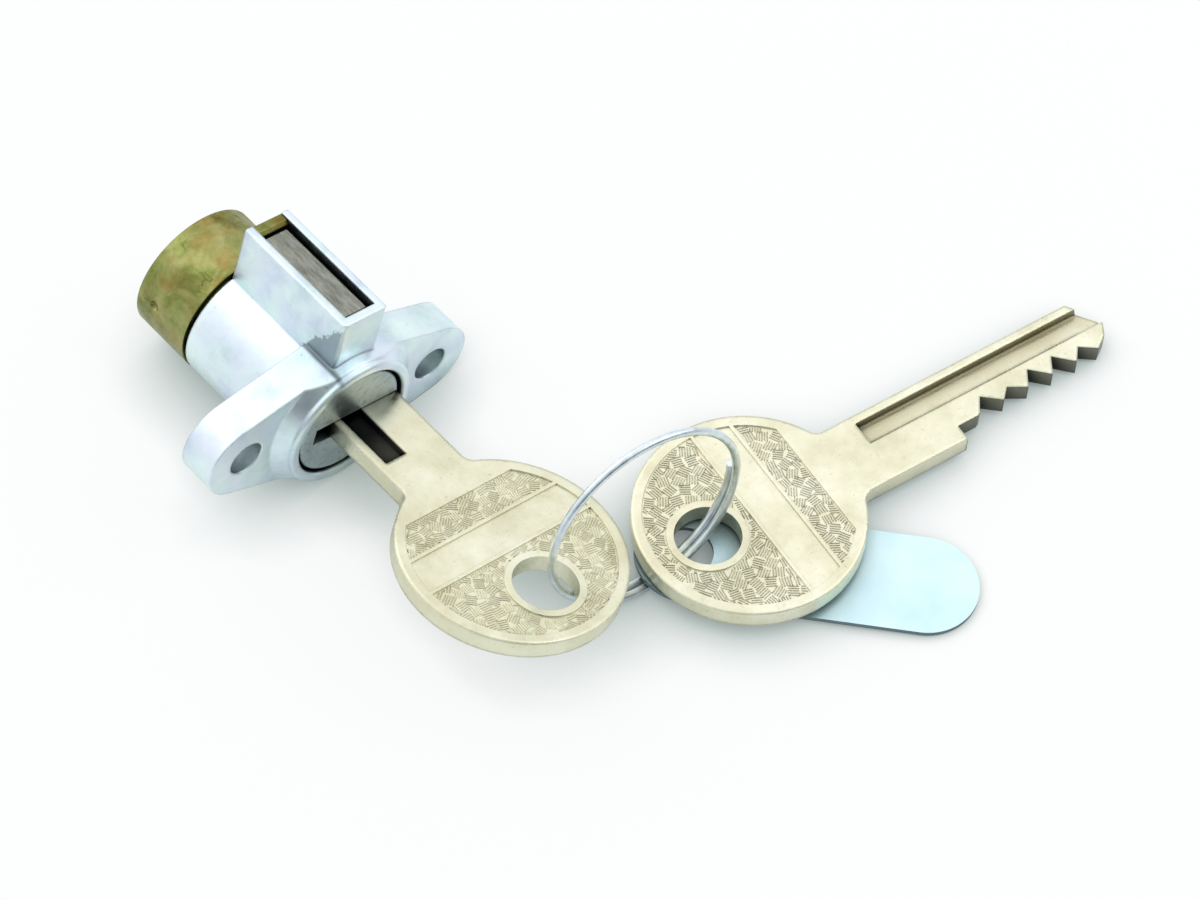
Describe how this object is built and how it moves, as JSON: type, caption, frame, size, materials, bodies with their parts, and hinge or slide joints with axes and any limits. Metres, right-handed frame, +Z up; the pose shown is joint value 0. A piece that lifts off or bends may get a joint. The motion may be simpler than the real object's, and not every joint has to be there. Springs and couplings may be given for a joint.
{
  "type": "toolbox lock",
  "caption": "Flanged toolbox lock whose keyed plug lifts a sliding dead bolt out of a box on the barrel, with keys, a wire key ring and a blank tag.",
  "frame": {"origin": "on the plug axis, in the plane of the flange's front face", "axes": "+Y along the plug axis into the lock, +Z up off the bench on which the lock lies on one flat side of its flange, +X to the right seen from the front; the bolt comes out along Z leaned 15.85 degrees towards +X"},
  "size_m": [0.0893, 0.0825, 0.0239],
  "materials": {
    "zinc_casting": "bright zinc-plated die casting",
    "yellow_plate": "yellow chromate plate, worn",
    "plain_steel": "brushed steel",
    "plug_metal": "turned, dull nickel plate",
    "spring_wire": "drawn spring steel",
    "wafer_brass": "stamped brass",
    "key_metal": "nickel silver, lightly worn",
    "ring_wire": "bright steel wire",
    "tag_sheet": "pale blue anodised sheet"
  },
  "bodies": {
    "housing": {"housing": "zinc_casting", "rear_cap": "yellow_plate", "end_disc": "plain_steel", "bolt_spring": "spring_wire"},
    "bolt": {"bolt": "plain_steel"},
    "plug": {"plug": "plug_metal", "retaining_clip": "spring_wire", "wafer_spring_1": "spring_wire", "wafer_spring_2": "spring_wire", "wafer_spring_3": "spring_wire", "wafer_spring_4": "spring_wire", "wafer_spring_5": "spring_wire"},
    "wafer_1": {"wafer_1": "wafer_brass"},
    "wafer_2": {"wafer_2": "wafer_brass"},
    "wafer_3": {"wafer_3": "wafer_brass"},
    "wafer_4": {"wafer_4": "wafer_brass"},
    "wafer_5": {"wafer_5": "wafer_brass"},
    "key": {"key": "key_metal"},
    "key_ring": {"key_ring": "ring_wire"},
    "spare_key": {"spare_key": "key_metal"},
    "key_tag": {"key_tag": "tag_sheet"}
  },
  "joints": [
    {"name": "plug_turn", "type": "hinge", "parent": "housing", "child": "plug", "pos_m": [0, 0, 0], "axis": [0, 1, 0], "range_deg": [0, 90]},
    {"name": "bolt_slide", "type": "slide", "parent": "housing", "child": "bolt", "axis": [0.2731, 0, 0.962], "range_m": [0, 0.004], "deforming": ["bolt_spring"]},
    {"name": "key_slide", "type": "slide", "parent": "plug", "child": "key", "axis": [0, -1, 0], "range_m": [0, 0.03]},
    {"name": "wafer_1_slide", "type": "slide", "parent": "plug", "child": "wafer_1", "axis": [-0.962, 0, 0.2731], "range_m": [0, 0.00045]},
    {"name": "wafer_2_slide", "type": "slide", "parent": "plug", "child": "wafer_2", "axis": [-0.962, 0, 0.2731], "range_m": [0, 0.00045]},
    {"name": "wafer_3_slide", "type": "slide", "parent": "plug", "child": "wafer_3", "axis": [-0.962, 0, 0.2731], "range_m": [0, 0.00045]},
    {"name": "wafer_4_slide", "type": "slide", "parent": "plug", "child": "wafer_4", "axis": [-0.962, 0, 0.2731], "range_m": [0, 0.00045]},
    {"name": "wafer_5_slide", "type": "slide", "parent": "plug", "child": "wafer_5", "axis": [-0.962, 0, 0.2731], "range_m": [0, 0.00045]},
    {"name": "ring_swivel", "type": "hinge", "parent": "key", "child": "key_ring", "pos_m": [0.00207, -0.0301, -0.00059], "axis": [0.2731, 0, 0.962], "range_deg": [-20, 0]},
    {"name": "spare_swivel", "type": "hinge", "parent": "key_ring", "child": "spare_key", "pos_m": [0.02076, -0.03492, -0.00507], "axis": [0.0384, 0.0206, 0.999], "range_deg": [-25, 4]},
    {"name": "tag_swivel", "type": "hinge", "parent": "key_ring", "child": "key_tag", "pos_m": [0.0188, -0.0337, -0.00693], "axis": [0.0231, -0.0262, 0.9994], "range_deg": [-20, 20]}
  ],
  "couplings": [
    {"joint": "bolt_slide", "follows": "plug_turn", "m_per_rad": 0.0025465},
    {"joint": "wafer_1_slide", "follows": "key_slide", "ratio": 0.015},
    {"joint": "wafer_2_slide", "follows": "key_slide", "ratio": 0.015},
    {"joint": "wafer_3_slide", "follows": "key_slide", "ratio": 0.015},
    {"joint": "wafer_4_slide", "follows": "key_slide", "ratio": 0.015},
    {"joint": "wafer_5_slide", "follows": "key_slide", "ratio": 0.015}
  ]
}
